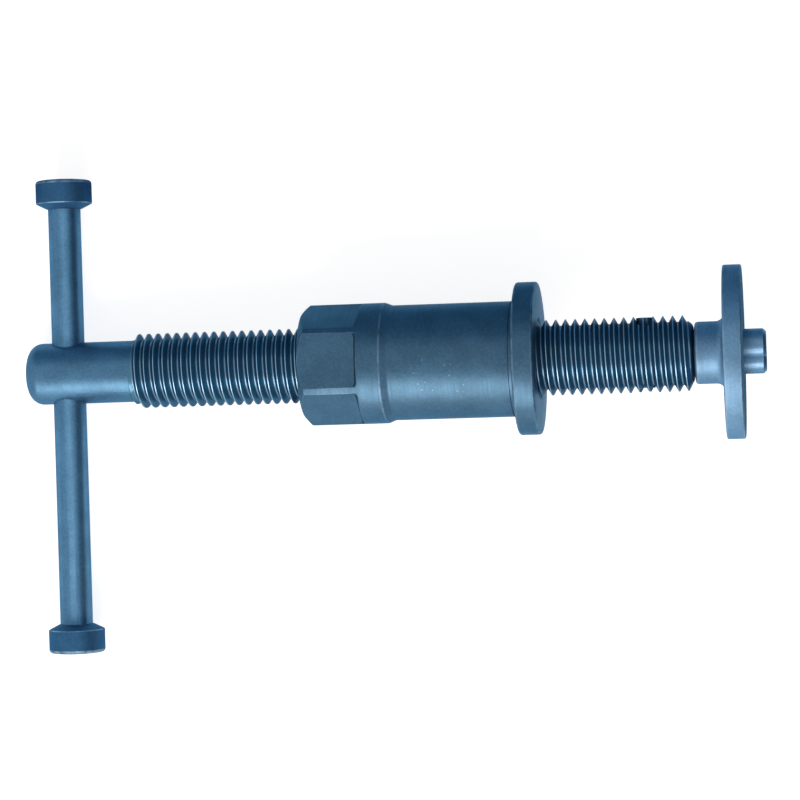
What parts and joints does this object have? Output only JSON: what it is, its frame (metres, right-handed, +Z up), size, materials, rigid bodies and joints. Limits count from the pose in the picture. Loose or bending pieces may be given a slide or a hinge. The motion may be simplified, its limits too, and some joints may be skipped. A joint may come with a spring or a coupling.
{
  "type": "brake caliper piston tool",
  "caption": "Screw press for pushing back brake caliper pistons: T-bar spindle in a flanged hex sleeve, with a swivelling push disc and lobed drive spigot.",
  "frame": {"origin": "on the spindle's axis, in the plane of the flange's front face", "axes": "+X along the spindle towards the push disc, +Y along the T-bar, +Z up with the tool lying on a bench"},
  "size_m": [0.1935, 0.1256, 0.0446],
  "materials": {
    "sleeve_steel": "blue-black oxide, satin",
    "spindle_steel": "blue-black oxide with bright worn crests",
    "bar_steel": "blue-black oxide, satin",
    "cap_steel": "blue-black oxide, fine matt grain",
    "washer_steel": "dark oiled steel",
    "disc_steel": "blue-black oxide, satin",
    "spigot_steel": "blue-black oxide, polished lobes",
    "pin_steel": "dark steel, ground flush"
  },
  "bodies": {
    "sleeve": {"sleeve": "sleeve_steel"},
    "thrust_washer": {"thrust_washer": "washer_steel"},
    "spindle": {"spindle_screw": "spindle_steel", "drive_spigot": "spigot_steel", "cross_pin": "pin_steel"},
    "push_disc": {"push_disc": "disc_steel"},
    "tommy_bar": {"tommy_bar": "bar_steel", "bar_cap_upper": "cap_steel", "bar_cap_lower": "cap_steel"}
  },
  "joints": [
    {"name": "spindle_feed", "type": "slide", "parent": "sleeve", "child": "thrust_washer", "axis": [1, 0, 0], "range_m": [-0.04689, 0.05501]},
    {"name": "spindle_turn", "type": "hinge", "parent": "thrust_washer", "child": "spindle", "pos_m": [0.0396, 0, 0], "axis": [1, 0, 0], "range_deg": [-6750, 7920]},
    {"name": "disc_swivel", "type": "hinge", "parent": "spindle", "child": "push_disc", "pos_m": [0.0474, 0, 0], "axis": [1, 0, 0], "continuous": true},
    {"name": "bar_slide", "type": "slide", "parent": "spindle", "child": "tommy_bar", "axis": [0, 1, 0], "range_m": [-0.0351, 0.0579]}
  ],
  "couplings": [
    {"joint": "spindle_feed", "follows": "spindle_turn", "m_per_rad": 0.00039789}
  ]
}
